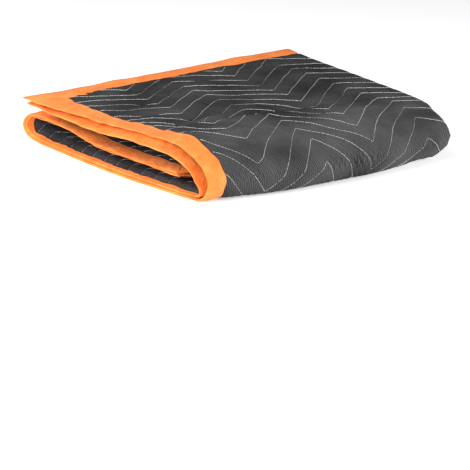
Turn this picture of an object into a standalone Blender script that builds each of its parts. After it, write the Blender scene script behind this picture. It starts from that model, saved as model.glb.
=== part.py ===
"""A quilted moving pad, doubled over and then folded in three.

The cloth is laid out flat first: s runs along its length and v across its width.
It is doubled over across its width, so each layer has two plies, and the doubled
cloth is folded in three along its length. place() carries a flat point to the fold.

Frame: metres, +Z up, origin on the floor under the middle of the folded pad.
-Y is the rolled front, -X the side with the open, bound edges, +X the doubled end.
"""

import math

import bmesh
import bpy
import numpy as np

MM = 0.001

# Driving dimensions of the flat pad, in millimetres
CUT_LENGTH = 1680.0
CUT_WIDTH = 1143.0
PLY = 7.0
HALF = CUT_WIDTH / 2

# Zigzag quilting
ROW_STEP = 40.0
ROW_START = 50.0
ZIGZAG_PERIOD = 244.0
ZIGZAG_REACH = 42.0
PEAK_AT = 4.0
TROUGH = 1.3

# Where the cloth turns over, the rows run straight and lie closer in this model
BENDS = ((430.0, 670.0), (1090.0, 1260.0))
BEND_PUFF = 0.6
ZIGZAG_FADE = 110.0

# The grid's lines round the doubled end, from its middle
DOUBLED_END_STEPS = (-34.0, -9.0, -4.5, 0.0, 4.5, 9.0, 34.0)
NEAR_DOUBLED_END = 30.0

# Binding tape, folded over the cut edge with its wide side outwards
TAPE_WIDE = 38.0
TAPE_NARROW = 12.0
TAPE_THICKNESS = 1.1
TAPE_OVERHANG = 1.5
TAPE_EDGE_TAPER = 0.6
GAP = 0.4
PINCHED = PLY / 2 - TAPE_THICKNESS - GAP
CLEAR = 0.3
BESIDE_TAPE = 10.0

# Plies that lie flat on each other, and the middle line of the layer on the floor
NESTED = 4.25
FLOOR_LINE = NESTED + PLY / 2
SETTLE = 1.4

# The folded pad's middle, measured from its near corner
MIDDLE = (271.8, 282.38)

# The way of the doubled cloth from its free end to its tucked end. near is the open
# side and far the doubled end. spread is half the distance between the two plies.
# edge_a, edge_b and nose are where the bound edges and the doubled end lie across, and
# belly is how far the middle of the pad bows forward.
FOLD_COLUMNS = ("near_y", "near_z", "far_y", "far_z", "spread", "edge_a", "edge_b", "nose", "belly")
FOLD_ROWS = {
    "free end": (541.0, 89.0, 572.0, 88.0, 6.0, -52.0, -42.0, 588.0, 0.0),
    "back": (460.0, 85.0, 480.0, 86.0, 6.5, -42.0, -41.0, 576.0, 0.0),
    "middle": (355.0, 84.5, 365.0, 85.0, 8.0, -32.0, -39.0, 565.0, 2.0),
    "valley": (250.0, 88.0, 255.0, 83.0, 9.0, -28.0, -37.0, 558.0, 5.0),
    "hump": (165.0, 91.5, 165.0, 82.0, 9.5, -28.0, -36.0, 551.0, 8.0),
    "shoulder": (92.0, 90.0, 88.0, 80.0, 10.5, -25.0, -33.0, 541.0, 12.0),
    "roll top": (44.0, 76.0, 42.0, 70.0, 11.5, -18.0, -28.0, 529.0, 17.0),
    "roll upper": (17.0, 57.0, 15.0, 54.0, 12.0, -14.0, -24.0, 529.0, 22.0),
    "roll front": (8.5, 38.0, 7.0, 38.0, 11.0, -12.0, -22.0, 530.0, 26.0),
    "roll lower": (10.5, 25.5, 9.5, 25.5, 7.5, -12.0, -18.0, 522.0, 28.0),
    "roll corner": (17.5, 13.8, 17.0, 13.8, 5.0, -12.0, -15.0, 514.0, 29.0),
    "roll foot": (32.0, 8.4, 32.0, 8.4, 4.5, -13.0, -13.0, 507.0, 28.0),
    "floor front": (75.0, FLOOR_LINE, 70.0, FLOOR_LINE, NESTED, -18.0, -14.0, 506.0, 22.0),
    "floor middle": (300.0, FLOOR_LINE, 300.0, FLOOR_LINE, NESTED, -30.0, -25.0, 522.0, 6.0),
    "floor back": (520.0, FLOOR_LINE, 520.0, FLOOR_LINE, NESTED, -22.0, -18.0, 532.0, 0.0),
    "loop lower": (568.0, 12.0, 568.0, 12.0, 5.0, -20.0, -16.0, 534.0, 0.0),
    "loop back": (587.0, 28.0, 587.0, 28.0, 5.5, -20.0, -16.0, 536.0, 0.0),
    "loop upper": (570.0, 46.0, 570.0, 45.0, 5.0, -18.0, -14.0, 538.0, 0.0),
    "flap back": (520.0, 48.0, 520.0, 46.0, 4.6, -15.0, -11.0, 540.0, 0.0),
    "flap bend": (450.0, 44.0, 450.0, 41.0, 5.2, -14.0, -10.0, 542.0, 0.0),
    "flap sag": (350.0, 31.0, 350.0, 31.0, 5.4, -12.0, -8.0, 544.0, 0.0),
    "flap middle": (240.0, 30.5, 240.0, 32.0, 5.0, -10.0, -6.0, 546.0, 0.0),
    "flap end": (98.0, 32.0, 98.0, 32.0, 4.6, -8.0, -4.0, 548.0, 0.0),
}
# The belly's middle and half its reach across the pad
BELLY = (255.0, 240.0)

# Soft hollows in the top layer: x, y, reach across, reach along, depth
HOLLOWS = {
    "behind the roll": (140.0, 232.0, 95.0, 42.0, 8.0),
    "right of it": (330.0, 190.0, 120.0, 45.0, 4.5),
    "left edge": (20.0, 300.0, 70.0, 50.0, 4.0),
}
TOP_LAYER_ENDS = 640.0
HOLLOWS_FADE = 80.0

SHARP_DEGREES = 50.0
COLOURS = {
    "quilt": ((0.045, 0.045, 0.05, 1.0), 0.85),
    "tape": ((1.0, 0.22, 0.03, 1.0), 0.75),
}


def steady_curve(knots, values):
    """Function through the values that never swings past them, so level stays level."""
    steps = np.diff(knots)
    slopes = np.diff(values) / steps
    tangents = np.zeros(len(values))
    tangents[0] = slopes[0]
    tangents[-1] = slopes[-1]
    for i in range(1, len(slopes)):
        before, after = slopes[i - 1], slopes[i]
        if before * after > 0:
            heavy_after = 2 * steps[i] + steps[i - 1]
            heavy_before = steps[i] + 2 * steps[i - 1]
            tangents[i] = (heavy_after + heavy_before) / (heavy_after / before + heavy_before / after)

    def value(at):
        i = np.clip(np.searchsorted(knots, at, side="right") - 1, 0, len(steps) - 1)
        t = (at - knots[i]) / steps[i]
        start = values[i] * (1 + 2 * t) * (1 - t) ** 2 + tangents[i] * steps[i] * t * (1 - t) ** 2
        end = values[i + 1] * t * t * (3 - 2 * t) + tangents[i + 1] * steps[i] * t * t * (t - 1)
        return start + end

    return value


def soft_step(t):
    t = np.clip(t, 0.0, 1.0)
    return t * t * (3 - 2 * t)


def fold_curves():
    """A curve over the path for each column of the fold table, and the path's knots."""
    rows = np.array(list(FOLD_ROWS.values()))
    near, far = rows[:, 0:2], rows[:, 2:4]
    chords = np.linalg.norm(np.diff((near + far) / 2, axis=0), axis=1)
    knots = np.concatenate([[0.0], np.cumsum(chords)])
    curves = {name: steady_curve(knots, rows[:, i]) for i, name in enumerate(FOLD_COLUMNS)}
    return curves, knots


CURVES, KNOTS = fold_curves()


def path_table():
    """How far along the cloth each place on the path is, from the middle of the fold."""
    path = np.linspace(KNOTS[0], KNOTS[-1], 2000)
    y = (CURVES["near_y"](path) + CURVES["far_y"](path)) / 2
    z = (CURVES["near_z"](path) + CURVES["far_z"](path)) / 2
    run = np.concatenate([[0.0], np.cumsum(np.hypot(np.diff(y), np.diff(z)))])
    return path, run


PATH, RUN = path_table()


def middle_line(path, x):
    """y and z between the two plies, at a place on the path and across the pad."""
    share = soft_step(x / CURVES["nose"](path))
    y = CURVES["near_y"](path) * (1 - share) + CURVES["far_y"](path) * share
    z = CURVES["near_z"](path) * (1 - share) + CURVES["far_z"](path) * share
    y = y - CURVES["belly"](path) * soft_step(1 - ((x - BELLY[0]) / BELLY[1]) ** 2)
    fade = soft_step((TOP_LAYER_ENDS - path) / HOLLOWS_FADE)
    for hollow_x, hollow_y, reach_x, reach_y, deep in HOLLOWS.values():
        away = ((x - hollow_x) / reach_x) ** 2 + ((y - hollow_y) / reach_y) ** 2
        z = z - fade * deep * np.exp(-away)
    return y, z


def place(s, v):
    """The folded point and outward direction of flat place (s, v), in millimetres."""
    path = np.interp(s, RUN * (CUT_LENGTH / RUN[-1]), PATH)
    spread = CURVES["spread"](path)
    nose = CURVES["nose"](path)
    flat = HALF - math.pi / 2 * spread
    turn = np.clip((v - flat) / spread, 0.0, math.pi)
    edge = np.where(v < HALF, CURVES["edge_a"](path), CURVES["edge_b"](path))
    from_edge = np.minimum(v, CUT_WIDTH - v) / flat
    x = np.where(from_edge < 1.0, edge + from_edge * (nose - edge), nose) + spread * np.sin(turn)
    y, z = middle_line(path, x)
    y_ahead, z_ahead = middle_line(path + 1.0, x)
    y_behind, z_behind = middle_line(path - 1.0, x)
    size = np.hypot(y_ahead - y_behind, z_ahead - z_behind)
    out_y, out_z = (z_ahead - z_behind) / size, (y_behind - y_ahead) / size
    side = np.cos(turn)
    point = np.stack([x, y + spread * side * out_y, z + spread * side * out_z], axis=-1)
    outward = np.stack([np.sin(turn), side * out_y, side * out_z], axis=-1)
    return point, outward


def zigzag(v):
    """+1 at a peak of the zigzag and -1 at its foot, steady under the side tapes."""
    v = np.clip(v, TAPE_WIDE + CLEAR, CUT_WIDTH - TAPE_WIDE - CLEAR)
    turns = (v - PEAK_AT) / ZIGZAG_PERIOD
    return 1 - 4 * np.abs(turns - np.round(turns))


def stations():
    """The quilt's lines along s: (place, share of the zigzag, how puffed up)."""
    ends = [0.0, TAPE_NARROW + CLEAR, TAPE_WIDE + CLEAR]
    last = CUT_LENGTH - TAPE_WIDE - CLEAR
    lines = [(s, 0.0, 0.0) for s in ends]
    for i, s in enumerate(np.arange(ROW_START, CUT_LENGTH - ROW_START, ROW_STEP / 4)):
        from_bends = min(max(start - s, s - end, 0.0) for start, end in BENDS)
        if i % 2 == 0 or from_bends == 0.0:
            reach = soft_step(min(s - ends[-1], last - s, from_bends) / ZIGZAG_FADE)
            lines.append((s, float(reach), (0.0, BEND_PUFF, 1.0, BEND_PUFF)[i % 4]))
    return lines + [(CUT_LENGTH - s, 0.0, 0.0) for s in reversed(ends)]


def columns():
    """The quilt's lines along v: tape edges, zigzag corners and the doubled end."""
    corners = np.arange(PEAK_AT + ZIGZAG_PERIOD / 2, CUT_WIDTH, ZIGZAG_PERIOD / 2)
    near_tape = TAPE_WIDE + 2 * BESIDE_TAPE
    inner = [v for v in corners if near_tape < min(v, CUT_WIDTH - v) and abs(v - HALF) > NEAR_DOUBLED_END]
    ends = [0.0, TAPE_NARROW + CLEAR, TAPE_WIDE + CLEAR, TAPE_WIDE + BESIDE_TAPE]
    doubled = [HALF + step for step in DOUBLED_END_STEPS]
    return np.array(sorted(ends + inner + doubled + [CUT_WIDTH - v for v in ends]))


def flat_grid():
    """s and v of every corner of the quilt's grid, and how puffed up it is there."""
    lines = np.array(stations())
    across = columns()
    s = lines[:, 0:1] - ZIGZAG_REACH * lines[:, 1:2] * zigzag(across)[None, :]
    v = np.repeat(across[None, :], len(lines), axis=0)
    puff = np.repeat(lines[:, 2:3], len(across), axis=1)
    return s, v, puff


def half_thickness(s, v, puff, wide_a, wide_b):
    """Half the quilt's thickness on one face, thinner in a seam and under the tape."""
    height = PLY / 2 - TROUGH * (1 - puff)
    end = np.minimum(s, CUT_LENGTH - s)
    wide_end = TAPE_WIDE if wide_a > wide_b else TAPE_NARROW
    under = (end < wide_end + 2 * CLEAR) | (v < wide_a + 2 * CLEAR) | (CUT_WIDTH - v < wide_b + 2 * CLEAR)
    return np.where(under, PINCHED, height)


def new_object(name, vertices, faces, colour, collection):
    mesh = bpy.data.meshes.new(name)
    frame = np.array([MIDDLE[0], MIDDLE[1], 0.0])
    mesh.from_pydata(((np.array(vertices) - frame) * MM).tolist(), [], faces)
    build = bmesh.new()
    build.from_mesh(mesh)
    bmesh.ops.recalc_face_normals(build, faces=build.faces)
    build.to_mesh(mesh)
    build.free()
    mesh.shade_smooth()
    mesh.set_sharp_from_angle(angle=math.radians(SHARP_DEGREES))
    mesh.materials.append(colour)
    piece = bpy.data.objects.new(name, mesh)
    collection.objects.link(piece)
    return piece


def make_material(name):
    colour, roughness = COLOURS[name]
    material = bpy.data.materials.new(name)
    material.use_nodes = True
    shader = material.node_tree.nodes["Principled BSDF"]
    shader.inputs["Base Color"].default_value = colour
    shader.inputs["Roughness"].default_value = roughness
    shader.inputs["Metallic"].default_value = 0.0
    return material


def split(a, b, c, d):
    """A four-sided face as two triangles, always across the same corners."""
    return [(a, b, c), (a, c, d)]


def make_quilt(collection, colour):
    """The quilted cloth: both faces of the folded sheet and the cut edge between them."""
    s, v, puff = flat_grid()
    count_s, count_v = s.shape
    point, outward = place(s, v)
    face_a = point + outward * half_thickness(s, v, puff, TAPE_WIDE, TAPE_NARROW)[..., None]
    face_b = point - outward * half_thickness(s, v, puff, TAPE_NARROW, TAPE_WIDE)[..., None]
    for face in (face_a, face_b):
        face[..., 2] = np.where(face[..., 2] < SETTLE, 0.0, face[..., 2])
    vertices = np.concatenate([face_a.reshape(-1, 3), face_b.reshape(-1, 3)])
    half = count_s * count_v

    def at(i, j, face):
        return face * half + i * count_v + j

    faces = []
    for i in range(count_s - 1):
        for j in range(count_v - 1):
            faces += split(at(i, j, 0), at(i, j + 1, 0), at(i + 1, j + 1, 0), at(i + 1, j, 0))
            faces += split(at(i, j, 1), at(i + 1, j, 1), at(i + 1, j + 1, 1), at(i, j + 1, 1))
        for j in (0, count_v - 1):
            faces += split(at(i, j, 0), at(i + 1, j, 0), at(i + 1, j, 1), at(i, j, 1))
    for j in range(count_v - 1):
        for i in (0, count_s - 1):
            faces += split(at(i, j, 0), at(i, j + 1, 0), at(i, j + 1, 1), at(i, j, 1))
    return new_object("quilt", vertices, faces, colour, collection)


def tape_section(wide_is_outward):
    """Points round the tape: (in from the cut edge, off the middle, width on that face)."""
    reach_a, reach_b = (TAPE_WIDE, TAPE_NARROW) if wide_is_outward else (TAPE_NARROW, TAPE_WIDE)
    skin, lining = PLY / 2, PLY / 2 - TAPE_THICKNESS
    corner = skin - TAPE_EDGE_TAPER
    outer = [(reach_a, skin), (-TAPE_OVERHANG, corner), (-TAPE_OVERHANG, -corner), (reach_b, -skin)]
    inner = [(reach_a, lining), (-GAP, lining), (-GAP, -lining), (reach_b, -lining)]
    return [(depth, height, reach_a if height > 0 else reach_b) for depth, height in outer + inner[::-1]]


def make_tape(name, along, section, flat_place, meets, collection, colour):
    """One tape: its section carried along an edge, mitred where it meets its neighbours."""
    runs_across = along[-1] == CUT_WIDTH
    rings = []
    for index, stop in enumerate(along):
        ring = []
        for depth, height, reach in section:
            mitre = max(depth, 0.0) / reach
            at = stop
            if index == 0:
                at = stop + meets[0][height > 0] * mitre + CLEAR / 2
            elif index == len(along) - 1:
                at = stop - meets[1][height > 0] * mitre - CLEAR / 2
            s, v = flat_place(at, max(depth, 0.0))
            point, outward = place(np.array(s), np.array(v))
            ring.append(point + outward * height + sideways(s, v, min(depth, 0.0), runs_across))
        rings.append(ring)
    size = len(section)
    faces = []
    for i in range(len(rings) - 1):
        for j in range(size):
            k = (j + 1) % size
            faces += split(i * size + j, i * size + k, (i + 1) * size + k, (i + 1) * size + j)
    for first in (0, (len(rings) - 1) * size):
        for j in range(size // 2 - 1):
            faces += split(first + j, first + j + 1, first + size - 2 - j, first + size - 1 - j)
    return new_object(name, np.array(rings).reshape(-1, 3), faces, colour, collection)


def sideways(s, v, past_edge, runs_across):
    """How a point past the cut edge is moved out, in the cloth's own direction there."""
    if past_edge == 0.0:
        return np.zeros(3)
    step = 0.5
    inside_s, inside_v = s, v
    if runs_across:
        inside_s = s + step if s < CUT_LENGTH / 2 else s - step
    else:
        inside_v = v + step if v < HALF else v - step
    here, _ = place(np.array(s), np.array(v))
    inside, _ = place(np.array(inside_s), np.array(inside_v))
    return (here - inside) / np.linalg.norm(here - inside) * -past_edge


def between_mitres(lines, length):
    """A tape's stops: its two ends, and the quilt's lines that lie clear of its mitres."""
    clear = TAPE_WIDE + BESIDE_TAPE / 2
    return [0.0] + [at for at in lines if clear < at < length - clear] + [length]


def make_tapes(collection, colour):
    """The four tapes. A tape's line meets the quilt's own lines, so they bend alike."""
    s, v, _ = flat_grid()
    outer_stops = between_mitres(s[:, 0], CUT_LENGTH)
    inner_stops = between_mitres(s[:, -1], CUT_LENGTH)
    end_stops = between_mitres(v[0], CUT_WIDTH)
    # How far the tape that is met reaches: True is its outward face, False its inward one
    ends = {True: TAPE_WIDE, False: TAPE_NARROW}
    side_a = {True: TAPE_WIDE, False: TAPE_NARROW}
    side_b = {True: TAPE_NARROW, False: TAPE_WIDE}
    make_tape("binding_outer_side", outer_stops, tape_section(True),
              lambda along, depth: (along, depth), (ends, ends), collection, colour)
    make_tape("binding_inner_side", inner_stops, tape_section(False),
              lambda along, depth: (along, CUT_WIDTH - depth), (ends, ends), collection, colour)
    make_tape("binding_free_end", end_stops, tape_section(True),
              lambda along, depth: (depth, along), (side_a, side_b), collection, colour)
    make_tape("binding_tucked_end", end_stops, tape_section(True),
              lambda along, depth: (CUT_LENGTH - depth, along), (side_a, side_b), collection, colour)


def main():
    for old in list(bpy.data.objects):
        bpy.data.objects.remove(old, do_unlink=True)
    pad = bpy.data.collections.new("moving_pad")
    bpy.context.scene.collection.children.link(pad)
    make_quilt(pad, make_material("quilt"))
    make_tapes(pad, make_material("tape"))


main()
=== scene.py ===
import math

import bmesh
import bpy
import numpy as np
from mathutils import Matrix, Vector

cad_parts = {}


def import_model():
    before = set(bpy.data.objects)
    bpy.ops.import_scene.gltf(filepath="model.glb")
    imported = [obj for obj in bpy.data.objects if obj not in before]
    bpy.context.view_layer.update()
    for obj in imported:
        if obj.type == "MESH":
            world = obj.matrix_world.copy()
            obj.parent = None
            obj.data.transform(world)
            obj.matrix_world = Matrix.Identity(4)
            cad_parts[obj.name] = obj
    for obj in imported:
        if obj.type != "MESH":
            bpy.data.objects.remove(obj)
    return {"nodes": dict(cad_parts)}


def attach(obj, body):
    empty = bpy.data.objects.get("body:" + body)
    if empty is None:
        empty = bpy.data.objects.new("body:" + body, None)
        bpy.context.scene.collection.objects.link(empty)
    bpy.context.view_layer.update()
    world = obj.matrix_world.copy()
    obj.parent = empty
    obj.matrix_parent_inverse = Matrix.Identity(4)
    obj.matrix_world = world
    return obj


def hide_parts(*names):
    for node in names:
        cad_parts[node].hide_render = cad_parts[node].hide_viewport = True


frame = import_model()

# %% [markdown]
# A folded moving pad
#
# The real thing is one flat piece: two faces of dark woven cloth with batting between
# them, quilted in zigzag rows and bound with bright tape on all four edges. It is
# doubled over across its width and then folded in three, like a letter.
#
# Each piece is therefore made flat, with its thickness, at the size it was cut to, and
# one folding function then carries every flat point to its place. That keeps rows,
# tape and thread lined up round every bend, and the cloth hardly stretches.

MM = 0.001
PHOTO_SIZE = 470
chance = np.random.default_rng(7)
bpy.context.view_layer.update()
print("nodes in the frame:", sorted(frame["nodes"]))

# %% [markdown]
# The pad's flat sizes
#
# All sizes are in millimetres, as a maker would write them. s runs along the pad and v
# across it, from the edge that ends up outside to the edge that ends up inside.

# %% Flat sizes
CUT_LENGTH = 1680.0
CUT_WIDTH = 1143.0
HALF = CUT_WIDTH / 2
PLY = 7.0
# Half the distance between two plies that lie close, and the height of the line between
# them when the lower one lies on the floor
NESTED = 4.25
FLOOR_LINE = NESTED + PLY / 2

ROW_STEP = 40.0
FIRST_ROW = 10.0
ZIGZAG_PERIOD = 244.0
ZIGZAG_REACH = 42.0
PEAK_AT = 4.0
SEAM_DEPTH = 1.5

TAPE_WIDE = 38.0
TAPE_NARROW = 12.0
# Half the quilt's thickness under the tape
PINCHED = 0.2
CORNER_EXTRA = 20.0
CORNER_REACH = 70.0


def even_narrow(at):
    return np.full(np.shape(at), TAPE_NARROW)


def even_wide(at):
    return np.full(np.shape(at), TAPE_WIDE)


def wider_at_corner(at):
    """How far the wide side of a tape reaches in, along its edge from the free corner."""
    return TAPE_WIDE + CORNER_EXTRA * np.exp(-((at / CORNER_REACH) ** 2))


# How far in the tape reaches on each face: along the outer edge, the inner edge, the
# free end and the tucked end
REACHES = {
    1: (wider_at_corner, even_narrow, wider_at_corner, even_wide),
    -1: (even_narrow, even_wide, even_narrow, even_narrow),
}

print("flat pad:", CUT_LENGTH, "x", CUT_WIDTH, "mm,", round(CUT_LENGTH / ROW_STEP), "rows of stitching")

# %% [markdown]
# The fold
#
# The fold is a table: a row for each stretch of the doubled cloth, from the free end on
# top, over the rolled front, back along the floor, up the loop at the back and forward
# to the tucked end. Two columns each place the open side and the doubled end, because a
# hand-folded pad is never square. A curve that can't swing past its points joins the
# rows, so the stretch on the floor stays flat.

# %% Fold table
# From the pad's near corner to its middle, in x and y
MIDDLE = (271.8, 282.38)
# The middle of the doubled cloth at the open side (near) and at the doubled end (far),
# how far each ply lies off it, how far across the pad the outer edge, the inner edge and
# the doubled end lie, and how far the fold bows forward there
FOLD_COLUMNS = ("near_y", "near_z", "far_y", "far_z", "spread", "edge_a", "edge_b", "nose", "belly")
FOLD_ROWS = {
    "free end": (541.0, 89.0, 572.0, 88.0, 6.0, -52.0, -42.0, 588.0, 0.0),
    "back": (460.0, 85.0, 480.0, 86.0, 6.5, -42.0, -41.0, 576.0, 0.0),
    "middle": (355.0, 84.5, 365.0, 85.0, 8.0, -32.0, -39.0, 565.0, 2.0),
    "valley": (250.0, 88.0, 255.0, 83.0, 9.0, -28.0, -37.0, 558.0, 5.0),
    "hump": (165.0, 91.5, 165.0, 82.0, 9.5, -28.0, -36.0, 551.0, 8.0),
    "shoulder": (92.0, 90.0, 88.0, 80.0, 10.5, -25.0, -33.0, 541.0, 12.0),
    "roll top": (44.0, 76.0, 42.0, 70.0, 11.5, -18.0, -28.0, 529.0, 17.0),
    "roll upper": (17.0, 57.0, 15.0, 54.0, 12.0, -14.0, -24.0, 529.0, 22.0),
    "roll front": (8.5, 38.0, 7.0, 38.0, 11.0, -12.0, -22.0, 530.0, 26.0),
    "roll lower": (10.5, 25.5, 9.5, 25.5, 7.5, -12.0, -18.0, 522.0, 28.0),
    "roll corner": (17.5, 13.8, 17.0, 13.8, 5.0, -12.0, -15.0, 514.0, 29.0),
    "roll foot": (32.0, 8.4, 32.0, 8.4, 4.5, -13.0, -13.0, 507.0, 28.0),
    "floor front": (75.0, FLOOR_LINE, 70.0, FLOOR_LINE, NESTED, -18.0, -14.0, 506.0, 22.0),
    "floor middle": (300.0, FLOOR_LINE, 300.0, FLOOR_LINE, NESTED, -30.0, -25.0, 522.0, 6.0),
    "floor back": (520.0, FLOOR_LINE, 520.0, FLOOR_LINE, NESTED, -22.0, -18.0, 532.0, 0.0),
    "loop lower": (568.0, 12.0, 568.0, 12.0, 5.0, -20.0, -16.0, 534.0, 0.0),
    "loop back": (587.0, 28.0, 587.0, 28.0, 5.5, -20.0, -16.0, 536.0, 0.0),
    "loop upper": (570.0, 46.0, 570.0, 45.0, 5.0, -18.0, -14.0, 538.0, 0.0),
    "flap back": (520.0, 48.0, 520.0, 46.0, 4.6, -15.0, -11.0, 540.0, 0.0),
    "flap bend": (450.0, 44.0, 450.0, 41.0, 5.2, -14.0, -10.0, 542.0, 0.0),
    "flap sag": (350.0, 31.0, 350.0, 31.0, 5.4, -12.0, -8.0, 544.0, 0.0),
    "flap middle": (240.0, 30.5, 240.0, 32.0, 5.0, -10.0, -6.0, 546.0, 0.0),
    "flap end": (98.0, 32.0, 98.0, 32.0, 4.6, -8.0, -4.0, 548.0, 0.0),
}
BELLY_AT = 255.0
BELLY_REACH = 240.0
# x, y, reach in x, reach in y, depth; all on the top layer
HOLLOWS = {
    "behind the roll": (140.0, 232.0, 95.0, 42.0, 8.0),
    "right of it": (330.0, 190.0, 120.0, 45.0, 4.5),
    "left edge": (20.0, 300.0, 70.0, 50.0, 4.0),
}
TOP_LAYER_ENDS = 640.0
HOLLOWS_FADE = 80.0
print("fold:", len(FOLD_ROWS), "stretches and", len(HOLLOWS), "hollows")


# %% Curves through the table
def steady_curve(knots, values):
    """Function through the values that never swings past them."""
    steps = np.diff(knots)
    slopes = np.diff(values) / steps
    tangents = np.zeros(len(values))
    tangents[0] = slopes[0]
    tangents[-1] = slopes[-1]
    for i in range(1, len(slopes)):
        before, after = slopes[i - 1], slopes[i]
        if before * after > 0:
            heavy_after = 2 * steps[i] + steps[i - 1]
            heavy_before = steps[i] + 2 * steps[i - 1]
            tangents[i] = (heavy_after + heavy_before) / (heavy_after / before + heavy_before / after)

    def value(at):
        i = np.clip(np.searchsorted(knots, at, side="right") - 1, 0, len(steps) - 1)
        t = (at - knots[i]) / steps[i]
        start = values[i] * (1 + 2 * t) * (1 - t) ** 2 + tangents[i] * steps[i] * t * (1 - t) ** 2
        end = values[i + 1] * t * t * (3 - 2 * t) + tangents[i + 1] * steps[i] * t * t * (t - 1)
        return start + end

    return value


PATH_POINTS = 2000
rows = np.array(list(FOLD_ROWS.values()))
chords = np.linalg.norm(np.diff((rows[:, 0:2] + rows[:, 2:4]) / 2, axis=0), axis=1)
knots = np.concatenate([[0.0], np.cumsum(chords)])
curves = {name: steady_curve(knots, rows[:, i]) for i, name in enumerate(FOLD_COLUMNS)}

path_steps = np.linspace(knots[0], knots[-1], PATH_POINTS)
mean_y = (curves["near_y"](path_steps) + curves["far_y"](path_steps)) / 2
mean_z = (curves["near_z"](path_steps) + curves["far_z"](path_steps)) / 2
run = np.concatenate([[0.0], np.cumsum(np.hypot(np.diff(mean_y), np.diff(mean_z)))])
print("length along the fold:", round(run[-1]), "mm for", CUT_LENGTH, "mm of cloth")


# %% [markdown]
# Carrying flat cloth to the fold
#
# middle_line is the line between the two plies. fold() puts a flat point on its ply, on
# either side of that line, or round the doubled end where the plies meet, and also says
# which way the cloth faces there. uneven() adds the small lifts and dents of soft
# batting, and the listed creases.

# %% Soft changes
def soft_step(t):
    t = np.clip(t, 0.0, 1.0)
    return t * t * (3 - 2 * t)


def after(at, start, fade):
    """0 up to start, then softly 1."""
    return soft_step((at - start) / fade)


def before(at, end, fade):
    """Softly from 1 to 0, which it reaches at end."""
    return soft_step((end - at) / fade)


print("a soft change is half done half way:", float(soft_step(0.5)))


# %% Where the inner edge leans on the outer one
LIP_BACK = 32.0
LIP_WIDE = 17.0
LIP_CLEAR = 1.2
LIP_ENDS = 500.0
EDGE_FADE = 110.0
PRESSED_TAPE = 1.9
PRESSED_REACH = 24.0
PRESSED_FROM = 560.0


def lip(s, v, spread):
    """On top, the inner ply lies up against the outer one behind its edge, so its tape slopes."""
    shape = np.exp(-(((CUT_WIDTH - v - LIP_BACK) / LIP_WIDE) ** 2))
    return (2 * spread - PLY - LIP_CLEAR) * (shape * before(s, LIP_ENDS, EDGE_FADE))


def pressed(s, v, spread):
    """Past the roll, the inner ply's bound edge is pressed down on the outer one's."""
    shape = np.exp(-(((CUT_WIDTH - v) / PRESSED_REACH) ** 2))
    return (2 * spread - 2 * PRESSED_TAPE) * (shape * after(s, PRESSED_FROM, EDGE_FADE))


print("tapes pressed together past", PRESSED_FROM, "mm along the pad")


# %% Folding
def middle_line(path, x):
    share = soft_step(x / curves["nose"](path))
    y = curves["near_y"](path) * (1 - share) + curves["far_y"](path) * share
    z = curves["near_z"](path) * (1 - share) + curves["far_z"](path) * share
    y = y - curves["belly"](path) * soft_step(1 - ((x - BELLY_AT) / BELLY_REACH) ** 2)
    fade = before(path, TOP_LAYER_ENDS, HOLLOWS_FADE)
    for hollow_x, hollow_y, reach_x, reach_y, deep in HOLLOWS.values():
        away = ((x - hollow_x) / reach_x) ** 2 + ((y - hollow_y) / reach_y) ** 2
        z = z - fade * deep * np.exp(-away)
    return y, z


def fold(s, v):
    """Folded point and facing of flat place (s, v), in millimetres from the near corner."""
    path = np.interp(s, run * (CUT_LENGTH / run[-1]), path_steps)
    spread = curves["spread"](path)
    nose = curves["nose"](path)
    flat = HALF - math.pi / 2 * spread
    turn = np.clip((v - flat) / spread, 0.0, math.pi)
    edge = np.where(v < HALF, curves["edge_a"](path), curves["edge_b"](path))
    from_edge = np.minimum(v, CUT_WIDTH - v) / flat
    x = np.where(from_edge < 1.0, edge + from_edge * (nose - edge), nose) + spread * np.sin(turn)
    y, z = middle_line(path, x)
    y_ahead, z_ahead = middle_line(path + 1.0, x)
    y_behind, z_behind = middle_line(path - 1.0, x)
    size = np.hypot(y_ahead - y_behind, z_ahead - z_behind)
    out_y, out_z = (z_ahead - z_behind) / size, (y_behind - y_ahead) / size
    side = np.cos(turn)
    point = np.stack([x, y + spread * side * out_y, z + spread * side * out_z], axis=-1)
    facing = np.stack([np.sin(turn), side * out_y, side * out_z], axis=-1)
    moved = uneven(s, v) - lip(s, v, spread) - pressed(s, v, spread)
    return point + facing * moved[..., None], facing


doubled_end = [round(float(curves["nose"](knot))) for knot in (knots[0], knots[-1])]
print("doubled end at the free and at the tucked end:", doubled_end, "mm across")


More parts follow.
